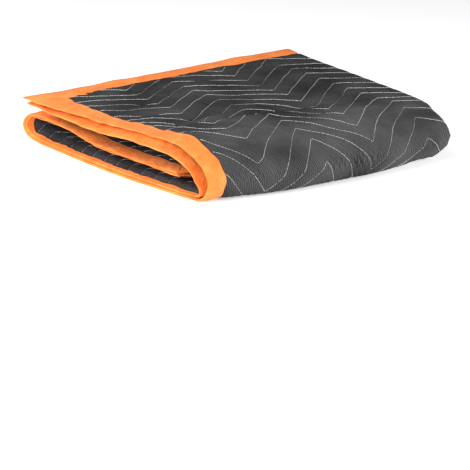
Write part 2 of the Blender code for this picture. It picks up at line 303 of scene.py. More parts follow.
# %% Unevenness and creases
# s, v, turn in degrees, half length, half width, height; all on the outside of the top
# layer and the rolled front
CREASES = {
    "hump at the tape": (466.0, 44.0, 0.0, 30.0, 32.0, 6.0),
    "dip before the hump": (398.0, 22.0, 0.0, 46.0, 30.0, -3.5),
    "beside the hump": (374.0, 84.0, 10.0, 60.0, 24.0, -5.0),
    "dark hollow": (318.0, 165.0, -20.0, 62.0, 13.0, -8.0),
    "ridge before it": (346.0, 152.0, -18.0, 66.0, 12.0, 4.6),
    "pull on the left": (250.0, 88.0, 28.0, 50.0, 11.0, -3.6),
    "pull at the back": (92.0, 175.0, 12.0, 70.0, 12.0, -3.0),
    "along the crest": (400.0, 215.0, 4.0, 150.0, 14.0, 4.6),
    "crest by the tape": (402.0, 70.0, -12.0, 60.0, 13.0, 3.6),
    "hollow by the tape": (352.0, 120.0, 14.0, 80.0, 12.0, -4.4),
    "slack on the right": (362.0, 330.0, -8.0, 130.0, 14.0, -4.6),
    "roll dent": (497.0, 300.0, 6.0, 130.0, 15.0, -3.2),
    "roll swell": (452.0, 430.0, -4.0, 110.0, 18.0, 3.4),
    "back ripple": (120.0, 300.0, 22.0, 80.0, 12.0, 2.4),
    "back ripple two": (170.0, 160.0, -18.0, 70.0, 12.0, -2.8),
    "right corner": (90.0, 480.0, 35.0, 80.0, 14.0, -3.2),
}
# length along s and along v, phase, height
RIPPLES = (
    (61.0, 143.0, 0.3, 0.34), (97.0, -88.0, 1.9, 0.4), (-173.0, 67.0, 4.1, 0.32),
    (211.0, 231.0, 2.6, 0.5), (47.0, -310.0, 5.0, 0.24), (33.0, 71.0, 3.3, 0.14),
)
FLOOR_FROM = 560.0
FLOOR_TO = 1230.0
FLOOR_FADE = 60.0
DOUBLED_FLAT = 12.0
DOUBLED_FADE = 40.0


def uneven(s, v):
    """How far the cloth's middle lies off its fold, outwards, in millimetres."""
    off = np.zeros(np.broadcast(s, v).shape)
    for wave_s, wave_v, phase, height in RIPPLES:
        off = off + height * np.sin(2 * math.pi * (s / wave_s + v / wave_v) + phase)
    for at_s, at_v, turn, half_long, half_wide, height in CREASES.values():
        across, along = v - at_v, s - at_s
        cos, sin = math.cos(math.radians(turn)), math.sin(math.radians(turn))
        far_long = (across * cos + along * sin) / half_long
        far_wide = (along * cos - across * sin) / half_wide
        off = off + height * np.exp(-far_long ** 2 - far_wide ** 2)
    on_floor = after(s, FLOOR_FROM, FLOOR_FADE) * before(s, FLOOR_TO, FLOOR_FADE)
    off_double = after(np.abs(v - HALF), DOUBLED_FLAT, DOUBLED_FADE)
    return off * (1 - on_floor) * off_double


print("creases:", len(CREASES), "and ripples:", len(RIPPLES))


# %% Rows of stitching
# The rows fan out towards the doubled end of the top layer, and where the cloth is
# pulled round the roll, single columns of corners are pulled along with it
FAN_ABOVE = 480.0
CORNERS_V = (0.0, 126.0, 248.0, 370.0, 492.0, HALF, 720.0, CUT_WIDTH)
FAN = (0.05, 0.05, 0.04, 0.10, 0.13, 0.13, 0.0, 0.0)
PULLED_ON_TOP = (0.0, 0.0, 0.0, 20.0, 0.0, 0.0, 0.0, 0.0)
PULLED_ON_ROLL = (0.0, 25.0, -4.0, 18.0, -2.0, -24.0, 0.0, 0.0)
ROLL_BEGINS = (420.0, 75.0)
PULL_ENDS = (700.0, 120.0)
print("rows of stitching fan out above", FAN_ABOVE, "mm along the pad")

# %% Corners moved across the pad
# How far the corners are moved across the pad beside the tape (all over, on the top and
# on the roll), at the doubled end and at the free end; then where, and over how far
DRIFT_AT_TAPE = 3.0
DRIFT_ON_TOP = 11.0
DRIFT_ON_ROLL = 20.0
DRIFT_AT_DOUBLE = 14.0
DRIFT_AT_FREE_END = 30.0
ON_TOP = (340.0, 120.0)
ON_ROLL = (490.0, 20.0)
BESIDE_TAPE = (230.0, 90.0)
PAST_TOP = (420.0, 60.0)
FROM_MIDDLE = (430.0, 60.0)
TO_DOUBLE = (680.0, 80.0)
LEFT_HALF = (430.0, 130.0)
FREE_END_REACH = 160.0
EDGE_HELD = 110.0


def zigzag(v):
    """+1 at a peak of the zigzag and -1 at its foot."""
    turns = (v - PEAK_AT) / ZIGZAG_PERIOD
    return 1 - 4 * np.abs(turns - np.round(turns))


def corner_drift(s, v):
    """How far the corners lie from their even spacing across the pad."""
    over_roll = np.exp(-(((s - ON_ROLL[0]) / ON_ROLL[1]) ** 2))
    near_tape = DRIFT_AT_TAPE + DRIFT_ON_TOP * before(s, *ON_TOP) - DRIFT_ON_ROLL * over_roll
    near_tape = near_tape * before(v, *BESIDE_TAPE)
    near_double = DRIFT_AT_DOUBLE * after(s, *PAST_TOP) * after(v, *FROM_MIDDLE)
    near_free_end = DRIFT_AT_FREE_END * np.exp(-((s / FREE_END_REACH) ** 2)) * before(v, *LEFT_HALF)
    return soft_step(v / EDGE_HELD) * (near_tape + near_free_end) + near_double * before(v, *TO_DOUBLE)


moved_on_roll = float(corner_drift(ON_ROLL[0], EDGE_HELD))
print("corners beside the tape move", round(moved_on_roll, 1), "mm on the roll")

# %% Where each row runs
ROW_SEARCHES = 6
ROW_SEARCH_STEP = 0.9


def row_place(even_s, v):
    """Where a row of stitching that would evenly lie at even_s really runs."""
    from_roll = even_s - FAN_ABOVE
    fanned = np.where(even_s < FAN_ABOVE, from_roll * (1 + np.interp(v, CORNERS_V, FAN)), from_roll)
    on_roll = after(even_s, *ROLL_BEGINS)
    pulled_on_top = np.interp(v, CORNERS_V, PULLED_ON_TOP) * (1 - on_roll)
    pulled_on_roll = np.interp(v, CORNERS_V, PULLED_ON_ROLL) * on_roll
    pulled = (pulled_on_top + pulled_on_roll) * before(even_s, *PULL_ENDS)
    return FAN_ABOVE + fanned + pulled - ZIGZAG_REACH * zigzag(v - corner_drift(even_s, v))


def off_seam(s, v):
    """Distance along s from the nearest row of stitching, in millimetres."""
    even_s = s
    for attempt in range(ROW_SEARCHES):
        even_s = even_s + ROW_SEARCH_STEP * (s - row_place(even_s, v))
    at = (even_s - FIRST_ROW) / ROW_STEP
    return np.abs(at - np.round(at)) * ROW_STEP


def to_frame(points):
    """Millimetres from the near corner to metres in the shared frame."""
    return (points - np.array([MIDDLE[0], MIDDLE[1], 0.0])) * MM


roll_row = float(row_place(ON_ROLL[0], PEAK_AT))
print("the row on the roll starts", round(roll_row), "mm along the pad")


# %% [markdown]
# How thick the quilt is
#
# Batting puffs up between the rows and is pulled thin along them. A seam's dent is
# narrow with soft shoulders, and puckers where the thread pulls. Under the tape the
# pad is pressed flat.

# %% Quilt height
PUCKER_EVERY = 15.0
PUCKER = 0.16
SEAM_HALF = 3.2
SHOULDER_HALF = 9.0
PUFF = 0.1
# From the doubled end, where the cloth is stretched and its seams are shallow
SHALLOW_SEAMS = (15.0, 60.0)
# Past the tape's edge, where the quilt swells to its full height
SWELLS = (1.0, 7.0)


def past_tape(s, v, side):
    """How far a flat place lies inwards of the nearest tape, on one face."""
    outer, inner, free_end, tucked_end = REACHES[side]
    past_sides = np.minimum(v - outer(s), CUT_WIDTH - v - inner(s))
    past_ends = np.minimum(s - free_end(v), CUT_LENGTH - s - tucked_end(v))
    return np.minimum(past_sides, past_ends)


def quilt_height(s, v, side):
    """Half the quilt's thickness on one face."""
    gap = off_seam(s, v)
    seam = np.exp(-((gap / SEAM_HALF) ** 2))
    shoulder = np.exp(-((gap / SHOULDER_HALF) ** 2))
    pucker = PUCKER * np.sin(2 * math.pi * v / PUCKER_EVERY + 1.3 * np.sin(s / 23.0)) * shoulder
    depth = SEAM_DEPTH * (0.45 + 0.55 * after(np.abs(v - HALF), *SHALLOW_SEAMS))
    height = PLY / 2 + PUFF - depth * (0.55 * seam + 0.45 * shoulder) + pucker
    return PINCHED + (height - PINCHED) * after(past_tape(s, v, side), *SWELLS)


def on_cloth(s, v, side, lift):
    """A place on one face: side +1 is the outward face, lift is above the cloth's middle."""
    point, facing = fold(s, v)
    return point + facing * (side * lift)[..., None]


print("quilt:", PLY, "mm thick, with seams", SEAM_DEPTH, "mm deep on each face")


# %% [markdown]
# The quilt
#
# A grid is laid out with its lines along the zigzag rows, closer together at each seam,
# so the dents come out crisp with few faces. Lines that run past the cut edge are
# brought back to it and merged. Solidify then gives the flat sheet its two faces, and
# each face is folded. A cloth simulation would need far smaller faces to hold rows of
# stitching, and could not be told to lie in this exact fold.

# %% Helpers for every piece
def deselect_all():
    for piece in bpy.context.selected_objects:
        piece.select_set(False)


def make_active(piece):
    deselect_all()
    piece.select_set(True)
    bpy.context.view_layer.objects.active = piece


def read_places(piece):
    places = np.zeros(len(piece.data.vertices) * 3)
    piece.data.vertices.foreach_get("co", places)
    return places.reshape(-1, 3)


def add_grid(name, count_x, count_y):
    """A grid primitive, and its corners' column and line numbers."""
    deselect_all()
    bpy.ops.mesh.primitive_grid_add(x_subdivisions=count_x, y_subdivisions=count_y, size=2.0)
    piece = bpy.context.active_object
    piece.name = name
    piece.data.name = name
    places = read_places(piece)
    column = np.rint((places[:, 0] + 1) / 2 * count_x).astype(int)
    line = np.rint((places[:, 1] + 1) / 2 * count_y).astype(int)
    return piece, column, line


def set_places(piece, places):
    piece.data.vertices.foreach_set("co", np.ascontiguousarray(places, dtype=float).ravel())
    piece.data.update()


def apply_modifier(piece, kind, **settings):
    modifier = piece.modifiers.new(kind.title(), kind)
    for name, value in settings.items():
        setattr(modifier, name, value)
    make_active(piece)
    bpy.ops.object.modifier_apply(modifier=modifier.name)


# %% Flat quilt
# Where the grid's lines lie between one row of stitching and the next
LINES_IN_A_ROW = (0.0, 0.075, 0.22, 0.5, 0.78, 0.925)
COLUMNS_IN_A_LEG = 19
COLUMN_STEP = ZIGZAG_PERIOD / 2 / COLUMNS_IN_A_LEG
LAST_COLUMN_FROM_EDGE = 2.0
MERGE_WITHIN = 0.00002

first_row = math.floor(-(FIRST_ROW + ZIGZAG_REACH) / ROW_STEP) - 1
last_row = math.ceil((CUT_LENGTH - FIRST_ROW + ZIGZAG_REACH) / ROW_STEP) + 1
line_places = np.array([row + part for row in range(first_row, last_row) for part in LINES_IN_A_ROW])
inner_columns = np.arange(PEAK_AT + COLUMN_STEP, CUT_WIDTH - LAST_COLUMN_FROM_EDGE, COLUMN_STEP)
column_places = np.concatenate([[0.0], inner_columns, [CUT_WIDTH]])

quilt, column, line = add_grid("quilted_cloth", len(column_places) - 1, len(line_places) - 1)
flat_v = column_places[column]
flat_s = row_place(FIRST_ROW + ROW_STEP * line_places[line], flat_v)
flat_s = np.clip(flat_s, 0.0, CUT_LENGTH)
set_places(quilt, np.stack([flat_v, flat_s, np.zeros(len(flat_v))], axis=-1) * MM)
make_active(quilt)
bpy.ops.object.mode_set(mode="EDIT")
bpy.ops.mesh.select_all(action="SELECT")
bpy.ops.mesh.remove_doubles(threshold=MERGE_WITHIN)
bpy.ops.object.mode_set(mode="OBJECT")
print("flat quilt:", len(quilt.data.polygons), "faces")


# %% Flat pattern as the cloth's own map
def map_flat(piece, flat):
    """Keep each corner's flat place, in metres, as the piece's UV map."""
    for old in list(piece.data.uv_layers):
        piece.data.uv_layers.remove(old)
    layer = piece.data.uv_layers.new(name="flat")
    corner = np.zeros(len(piece.data.loops), int)
    piece.data.loops.foreach_get("vertex_index", corner)
    layer.data.foreach_set("uv", np.ascontiguousarray(flat[corner, 0:2], dtype=float).ravel())


def shade_smooth(piece, angle=60.0):
    make_active(piece)
    bpy.ops.object.shade_smooth_by_angle(angle=math.radians(angle))


# %% Folded quilt
apply_modifier(quilt, "SOLIDIFY", thickness=PLY * MM, offset=0.0)
flat = read_places(quilt)
map_flat(quilt, flat)
v, s, side = flat[:, 0] / MM, flat[:, 1] / MM, np.sign(flat[:, 2])
folded = on_cloth(s, v, side, np.where(side > 0, quilt_height(s, v, 1), quilt_height(s, v, -1)))
folded[:, 2] = np.maximum(folded[:, 2], 0.0)
set_places(quilt, to_frame(folded))


def face_outwards(piece):
    mesh = bmesh.new()
    mesh.from_mesh(piece.data)
    bmesh.ops.recalc_face_normals(mesh, faces=mesh.faces)
    mesh.to_mesh(piece.data)
    mesh.free()


face_outwards(quilt)
shade_smooth(quilt)
print("quilt:", len(quilt.data.polygons), "faces, lowest point", round(folded[:, 2].min(), 2), "mm")

# %% [markdown]
# The quilting thread
#
# Real stitches are short lengths of light thread that dip into the cloth at both ends.
# One stitch is modelled as a three-sided spindle, and a copy is laid along each row for
# every stitch, on both faces. A painted line would be quicker, but it would lie flat
# and blur where the render or the exported model comes close.

# %% One stitch
STITCH_EVERY = 4.6
STITCH_LONG = 4.45
THREAD = 0.95
SHOULDER_AT = 0.15
END_DROP = 0.9


def one_stitch():
    """A three-sided spindle along X, from 0 to 1, its corners in half threads."""
    deselect_all()
    bpy.ops.mesh.primitive_cylinder_add(vertices=3, radius=1.0, depth=1.0, end_fill_type="TRIFAN")
    spindle = bpy.context.active_object
    places = read_places(spindle)
    is_end = np.hypot(places[:, 0], places[:, 1]) < 0.1
    from_end = np.where(is_end, 0.0, SHOULDER_AT)
    along = np.where(places[:, 2] > 0, 1.0 - from_end, from_end)
    drop = np.where(is_end, END_DROP, 0.0)
    corners = np.stack([along, places[:, 0], places[:, 1] - drop], axis=-1)
    faces = [tuple(face.vertices) for face in spindle.data.polygons]
    bpy.data.objects.remove(spindle, do_unlink=True)
    return corners, faces


STITCH_CORNERS, STITCH_FACES = one_stitch()
print("one stitch:", len(STITCH_FACES), "faces,", STITCH_LONG, "of every", STITCH_EVERY, "mm")


# %% Copies of the stitch
def lay_stitches(name, start, end, facing, thread):
    """One mesh of stitches from start to end points, all in millimetres."""
    along = end - start
    aside = np.cross(facing, along)
    aside = aside / np.linalg.norm(aside, axis=1, keepdims=True)
    up = np.cross(along, aside)
    up = up / np.linalg.norm(up, axis=1, keepdims=True)
    step, over, rise = STITCH_CORNERS[:, 0], STITCH_CORNERS[:, 1], STITCH_CORNERS[:, 2]
    places = (
        start[:, None, :]
        + along[:, None, :] * step[None, :, None]
        + aside[:, None, :] * (over * thread / 2)[None, :, None]
        + up[:, None, :] * (rise * thread / 2)[None, :, None]
    )
    count, size = len(start), len(STITCH_CORNERS)
    faces = [tuple(i * size + corner for corner in face) for i in range(count) for face in STITCH_FACES]
    mesh = bpy.data.meshes.new(name)
    mesh.from_pydata(to_frame(places.reshape(-1, 3)).tolist(), [], faces)
    piece = bpy.data.objects.new(name, mesh)
    bpy.context.scene.collection.objects.link(piece)
    face_outwards(piece)
    shade_smooth(piece, 80.0)
    return piece


# %% Stitches along each row
STITCH_JITTER = 0.25
ROW_WANDER = 0.5
ROW_JITTER = 0.12
CLEAR_OF_TAPE = 1.5
HIDDEN_AT_DOUBLE = 24.0


def row_stitches(side):
    """Flat start and end of every quilting stitch that shows on one face."""
    slope = ZIGZAG_REACH * 4 / ZIGZAG_PERIOD
    step = STITCH_EVERY / math.hypot(1.0, slope)
    long = STITCH_LONG / math.hypot(1.0, slope)
    starts, ends = [], []
    for row in range(first_row, last_row):
        from_v = np.arange(TAPE_NARROW + 2.0, CUT_WIDTH - TAPE_NARROW - 2.0, step)
        from_v = from_v + chance.uniform(0.0, step)
        from_v = from_v + chance.normal(0.0, STITCH_JITTER, len(from_v))
        wander = ROW_WANDER * np.sin(from_v / 37.0 + row) + chance.normal(0.0, ROW_JITTER, len(from_v))
        even_s = np.full(len(from_v), FIRST_ROW + ROW_STEP * row)
        starts.append(np.stack([row_place(even_s, from_v) + wander, from_v], axis=-1))
        to_v = from_v + long
        ends.append(np.stack([row_place(even_s, to_v) + wander, to_v], axis=-1))
    starts, ends = np.concatenate(starts), np.concatenate(ends)
    keep = np.full(len(starts), True)
    for place in (starts, ends):
        keep &= past_tape(place[:, 0], place[:, 1], side) > CLEAR_OF_TAPE
    if side < 0:
        keep &= np.abs(starts[:, 1] - HALF) > HIDDEN_AT_DOUBLE
    return starts[keep], ends[keep]


# %% Quilting on both faces
THREAD_LIFT = 0.2
THREAD_SINKS = 0.22


def thread_place(flat, side):
    """A stitch's end on the cloth: pulled tight, it sinks in here and there."""
    s, v = flat[:, 0], flat[:, 1]
    sunk = np.sin(s / 31.0 + v / 47.0) + np.sin(v / 23.0 - s / 71.0)
    lift = quilt_height(s, v, side) + THREAD_LIFT - THREAD_SINKS * np.clip(sunk, 0.0, 1.4)
    return on_cloth(s, v, np.full(len(flat), float(side)), lift)


def quilting(name, side):
    starts, ends = row_stitches(side)
    middle = (starts + ends) / 2
    facing = fold(middle[:, 0], middle[:, 1])[1]
    return lay_stitches(name, thread_place(starts, side), thread_place(ends, side), facing * side, THREAD)


thread_out = quilting("quilting_outward_face", 1)
thread_in = quilting("quilting_inward_face", -1)
stitch_counts = [len(piece.data.polygons) // len(STITCH_FACES) for piece in (thread_out, thread_in)]
print("stitches on the outward and the inward face:", stitch_counts)

# %% [markdown]
# The binding tape
#
# Each edge has a strip of tape folded over it, wider on the side that faces out. A grid
# strip is bent round the edge by its own profile and then folded with the pad, so the
# tape sits on the cloth all the way. Tape sewn over soft batting is never quite even:
# its inner edge wanders, it swells between edge and seam, and it puckers.

# %% Tape profile
TAPE_THICK = 0.65
EDGE_ROUND = 1.6
TAPE_LINES = 4.0
ACROSS_STEPS = 18
SWELL = 0.02
PUCKERED = 0.55
SEAM_PULL = 0.25
TAPE_SEAM_HALF = 1.6
TOPSTITCH_IN = 4.0


def tape_profile(share, wide_is_outward):
    """In from the cut edge, and off the cloth's middle, from the outward face to the inward."""
    wide_out, wide_in = (TAPE_WIDE, TAPE_NARROW) if wide_is_outward else (TAPE_NARROW, TAPE_WIDE)
    arc = math.pi * EDGE_ROUND
    at = share * (wide_out + arc + wide_in)
    turn = np.clip((at - wide_out) / EDGE_ROUND, 0.0, math.pi)
    depth = np.where(at < wide_out, wide_out - at, np.maximum(at - wide_out - arc, 0.0))
    depth = depth - EDGE_ROUND * np.sin(turn) * 0.8
    return depth, EDGE_ROUND * np.cos(turn), wide_out, wide_in


def tape_wrinkles(along, depth, reach, seed):
    """Lift of the tape's face: a swell between edge and seam, and small slanting puckers."""
    inside = np.clip(depth / reach, 0.0, 1.0)
    swell = SWELL * reach * np.sin(math.pi * inside) * (0.7 + 0.3 * np.sin(along / 41.0 + seed))
    slant = along + 0.9 * depth
    pucker = PUCKERED + PUCKERED * np.sin(slant / 3.9 + 2.0 * np.sin(along / 57.0 + seed))
    pucker = pucker * (0.5 + 0.5 * np.sin(along / 83.0 + 2.0 * seed)) * np.sin(math.pi * inside)
    seam = SEAM_PULL * np.exp(-(((depth - (reach - TOPSTITCH_IN)) / TAPE_SEAM_HALF) ** 2))
    return swell + pucker - seam


print("tape:", TAPE_WIDE, "and", TAPE_NARROW, "mm wide on its two sides,", TAPE_THICK, "mm thick")


# %% Tape edges and corners
RAGGED = 1.2
MITRE_GAP = 0.02


def ragged(along, seed):
    """How a tape's inner edge wanders along its length."""
    slow = np.sin(along / 15.0 + seed + 2.0 * np.sin(along / 61.0))
    quick = 0.7 * np.sin(along / 5.9 + 3 * seed + 3.0 * np.sin(along / 43.0))
    return slow + quick


def by_face(height, pair):
    """The first of a pair on the outward face and the second on the inward."""
    return np.where(height > 0, pair[0], pair[1])


def mitred(share, inward, height, length, meets, reaches):
    """Place along the edge, with both ends cut slanting to meet the neighbours."""
    own_start = by_face(height, [reach(0.0) for reach in reaches])
    own_stop = by_face(height, [reach(length) for reach in reaches])
    start = by_face(height, meets[0]) * inward / own_start + MITRE_GAP
    stop = length - by_face(height, meets[1]) * inward / own_stop - MITRE_GAP
    return start + (stop - start) * share


print("tape edges wander by up to", round(1.7 * RAGGED, 1), "mm")


# %% Tape strips
TAPE_WIDTH = TAPE_WIDE + TAPE_NARROW + math.pi * EDGE_ROUND
LOOK_INWARD = 0.5
TAPE_OFF_FLOOR = 0.05


def folded_tape(at, depth, height, reach, flat_place, seed):
    """The tape's points on the folded pad; a depth below 0 is out past the cut edge."""
    inward = np.maximum(depth, 0.0)
    point, facing = fold(*flat_place(at, inward))
    inner = fold(*flat_place(at, inward + LOOK_INWARD))[0]
    out = (point - inner) / np.linalg.norm(point - inner, axis=1, keepdims=True)
    lift = height + np.sign(height) * tape_wrinkles(at, inward, reach, seed) * (depth > 0)
    folded = point + facing * lift[:, None] + out * np.maximum(-depth, 0.0)[:, None]
    folded[:, 2] = np.maximum(folded[:, 2], TAPE_OFF_FLOOR)
    return folded


def make_binding(name, length, wide_is_outward, flat_place, meets, seed, reaches):
    """A tape along one edge, mitred to meet its neighbours."""
    lines = int(length / TAPE_LINES)
    strip, across, station = add_grid(name, ACROSS_STEPS, lines)
    share_across, share_along = across / ACROSS_STEPS, station / lines
    along = share_along * length
    map_flat(strip, np.stack([share_across * TAPE_WIDTH, along], axis=-1) * MM)
    depth, height, wide_out, wide_in = tape_profile(share_across, wide_is_outward)
    reach = by_face(height, [reach(along) for reach in reaches])
    depth = depth * reach / by_face(height, (wide_out, wide_in))
    depth = depth + (np.maximum(depth, 0.0) / reach) ** 3 * ragged(along, seed) * RAGGED
    at = mitred(share_along, np.maximum(depth, 0.0), height, length, meets, reaches)
    set_places(strip, to_frame(folded_tape(at, depth, height, reach, flat_place, seed)))
    apply_modifier(strip, "SOLIDIFY", thickness=TAPE_THICK * MM, offset=0.0)
    face_outwards(strip)
    shade_smooth(strip)
    return strip


# %% The four tapes
# How far the neighbours reach at either end of a tape, on the outward and inward face
CORNER_WIDE = TAPE_WIDE + CORNER_EXTRA
OUTER_MEETS = ((CORNER_WIDE, TAPE_NARROW), (TAPE_WIDE, TAPE_NARROW))
INNER_MEETS = ((TAPE_WIDE, TAPE_NARROW), (TAPE_WIDE, TAPE_NARROW))
FREE_MEETS = ((CORNER_WIDE, TAPE_NARROW), (TAPE_NARROW, TAPE_WIDE))
TUCKED_MEETS = ((TAPE_WIDE, TAPE_NARROW), (TAPE_NARROW, TAPE_WIDE))


# Each gives s and v of a place along its edge and a depth in from it
def along_outer(at, deep):
    return at, deep


def along_inner(at, deep):
    return at, CUT_WIDTH - deep


def along_free_end(at, deep):
    return deep, at


def along_tucked_end(at, deep):
    return CUT_LENGTH - deep, at


# length, wide side outward, place on the pad, neighbours, seed, reach on either face
TAPES = {
    "tape_outer_side": (CUT_LENGTH, True, along_outer, OUTER_MEETS, 0.4, (wider_at_corner, even_narrow)),
    "tape_inner_side": (CUT_LENGTH, False, along_inner, INNER_MEETS, 1.7, (even_narrow, even_wide)),
    "tape_free_end": (CUT_WIDTH, True, along_free_end, FREE_MEETS, 2.9, (wider_at_corner, even_narrow)),
    "tape_tucked_end": (CUT_WIDTH, True, along_tucked_end, TUCKED_MEETS, 4.2, (even_wide, even_narrow)),
}
tapes = {name: make_binding(name, *facts) for name, facts in TAPES.items()}
print("tapes:", {name: len(piece.data.polygons) for name, piece in tapes.items()})

# %% [markdown]
# Topstitching
#
# The tape is sewn on with one row of thread close to its inner edge, in a thread of the
# tape's own colour, through to the other face.

# %% Topstitching
TOPSTITCH_EVERY = 5.0
TOPSTITCH_LONG = 3.9
TOPSTITCH_MIDDLE = 2.0
TOPSTITCH_THREAD = 0.7
TOPSTITCH_LIFT = 0.15


def topstitch_row(length, flat_place, seed, side, reach_along):
    """Start, end and facing of each stitch along one tape, on one face."""
    count = int((length - TAPE_WIDE - CORNER_WIDE) / TOPSTITCH_EVERY)
    at = CORNER_WIDE + TOPSTITCH_EVERY * np.arange(count)
    reach = reach_along(at)
    deep = reach - TOPSTITCH_IN
    both_ends = []
    for place in (at, at + TOPSTITCH_LONG):
        s, v = flat_place(place, deep)
        lift = EDGE_ROUND + tape_wrinkles(place, deep, reach, seed) + TAPE_THICK / 2 + TOPSTITCH_LIFT
        both_ends.append(on_cloth(s, v, np.full(count, side), lift))
    facing = fold(*flat_place(at + TOPSTITCH_MIDDLE, deep))[1] * side
    return both_ends[0], both_ends[1], facing


def topstitch(name, length, flat_place, seed, reaches):
    rows = [topstitch_row(length, flat_place, seed, side, reach)
            for side, reach in zip((1.0, -1.0), reaches)]
    starts, ends, facings = (np.concatenate(parts) for parts in zip(*rows))
    return lay_stitches(name, starts, ends, facings, TOPSTITCH_THREAD)


topstitches = {
    name: topstitch(name.replace("tape", "topstitch"), length, flat_place, seed, reaches)
    for name, (length, wide_is_outward, flat_place, meets, seed, reaches) in TAPES.items()
}
print("topstitching:", [piece.name for piece in topstitches.values()])

# %% [markdown]
# Shader maths
#
# A socket wrapper lets patterns be written as sums and products. Every operator adds
# one Math node, and node() adds any other kind. It takes inputs by name, or by number
# after an underscore where several share a name.

# %% Socket wrapper
class Socket:
    """A number socket in a material, with Python's operators."""

    def __init__(self, tree, output):
        self.tree = tree
        self.output = output

    def node(self, kind, settings=None, pick=0, **values):
        made = self.tree.nodes.new(kind)
        for name, value in (settings or {}).items():
            setattr(made, name, value)
        for name, value in values.items():
            numbered = name.startswith("_")
            socket = made.inputs[int(name[1:]) if numbered else name]
            if isinstance(value, Socket):
                self.tree.links.new(value.output, socket)
            else:
                socket.default_value = value
        return Socket(self.tree, made.outputs[pick])

    def maths(self, operation, first, second=0.0):
        return self.node("ShaderNodeMath", {"operation": operation}, _0=first, _1=second)

    def __add__(self, other):
        return self.maths("ADD", self, other)

    def __radd__(self, other):
        return self.maths("ADD", other, self)

    def __sub__(self, other):
        return self.maths("SUBTRACT", self, other)

    def __rsub__(self, other):
        return self.maths("SUBTRACT", other, self)

    def __mul__(self, other):
        return self.maths("MULTIPLY", self, other)

    def __rmul__(self, other):
        return self.maths("MULTIPLY", other, self)

    def __truediv__(self, other):
        return self.maths("DIVIDE", self, other)

    def __rtruediv__(self, other):
        return self.maths("DIVIDE", other, self)

    def wave(self):
        return self.maths("SINE", self * (2 * math.pi))

    def split(self):
        parts = self.tree.nodes.new("ShaderNodeSeparateXYZ")
        self.tree.links.new(self.output, parts.inputs[0])
        return [Socket(self.tree, parts.outputs[i]) for i in range(2)]

    def noise(self, scale, detail=2.0, roughness=0.5):
        sizes = {"Scale": scale, "Detail": detail, "Roughness": roughness}
        return self.node("ShaderNodeTexNoise", {}, Vector=self, **sizes)

    def between(self, dark, light):
        """A colour between two, by this number."""
        return self.node("ShaderNodeMix", {"data_type": "RGBA"}, 2, _0=self, _6=dark, _7=light)


# %% Starting a material
SHEEN_ROUGHNESS = 0.45


def new_material(name, roughness, sheen, gloss):
    material = bpy.data.materials.new(name)
    material.use_nodes = True
    shader = material.node_tree.nodes["Principled BSDF"]
    shader.inputs["Roughness"].default_value = roughness
    shader.inputs["Sheen Weight"].default_value = sheen
    shader.inputs["Sheen Roughness"].default_value = SHEEN_ROUGHNESS
    shader.inputs["Specular IOR Level"].default_value = gloss
    return material, shader


def place_on(material, kind):
    """A place on the flat pattern, kind UV, or on the folded piece, kind Object."""
    places = material.node_tree.nodes.new("ShaderNodeTexCoord")
    return Socket(material.node_tree, places.outputs[kind])


def feed(shader, name, socket):
    socket.tree.links.new(socket.output, shader.inputs[name])


# %% [markdown]
# Dark woven cloth
#
# The faces are a dark polyester twill, with no shine. The real ribs are about a
# millimetre wide, too fine for a picture of this size, so they are drawn a few times
# wider, as a faint slanting rib crossed by a finer thread, in colour and in bump. The
# cloth is uneven in tone and crumpled all over. Its colour is painted lighter over the
# front roll and darker away from it: a painted sheen and painted shade where the roll
# catches the light and the top does not. All of it follows the flat pattern, so it
# turns with the cloth.

# %% Cloth material
RIBS_PER_METRE = 230.0
RIB_SLANT = -0.45
CROSS_SLANT = -0.7
CROSS_PER_RIB = 1.35
# Where along the pad, in metres, the painted sheen over the front roll is centred, and how far it reaches
PAINTED_SHEEN_AT = 0.49
PAINTED_SHEEN_REACH = 0.085
CLOTH_DARK = (0.005, 0.005, 0.0054, 1.0)
CLOTH_LIGHT = (0.108, 0.108, 0.11, 1.0)

cloth, shader = new_material("dark_twill", 0.7, 0.0, 0.04)
flat_map = place_on(cloth, "UV")
flat_v_m, flat_s_m = flat_map.split()
rib = ((flat_v_m + flat_s_m * RIB_SLANT) * RIBS_PER_METRE).wave()
cross = ((flat_v_m * CROSS_SLANT + flat_s_m) * (RIBS_PER_METRE * CROSS_PER_RIB)).wave()
fuzz = flat_map.noise(900.0, 2.0)
patch = flat_map.noise(9.0, 3.0)
weave = rib * 0.5 + cross * 0.1 + fuzz * 0.5
shade = 0.45 + rib * 0.24 + cross * 0.03 + (fuzz - 0.5) * 0.8 + (patch - 0.5) * 1.3
# Painted sheen and shade: the colour is made lighter over the front roll and darker away from it
from_roll = (flat_s_m - PAINTED_SHEEN_AT) / PAINTED_SHEEN_REACH
over_roll = 1.0 / (1.0 + from_roll * from_roll)
shade = shade * (0.76 + over_roll * 0.54)
feed(shader, "Base Color", shade.between(CLOTH_DARK, CLOTH_LIGHT))
feed(shader, "Roughness", 0.6 + patch * 0.25)
crumple = flat_map.noise(32.0, 5.0, 0.6)
bump = weave.node("ShaderNodeBump", {}, Strength=0.4, Distance=0.0004, Height=weave)
soft = weave.node("ShaderNodeBump", {}, Strength=0.75, Distance=0.008, Height=crumple, Normal=bump)
feed(shader, "Normal", soft)
quilt.data.materials.clear()
quilt.data.materials.append(cloth)
print("cloth:", cloth.name, "with", round(1000 / RIBS_PER_METRE, 2), "mm ribs")

# %% [markdown]
# Bright tape
#
# The tape is a plain, tight weave in one strong orange. It has fine crosswise ribs,
# small changes of colour along its length, and small creases that go in as bump.

# %% Tape material
THREADS_PER_METRE = 900.0
TAPE_DEEP = (0.87, 0.15, 0.014, 1.0)
TAPE_BRIGHT = (1.0, 0.34, 0.075, 1.0)

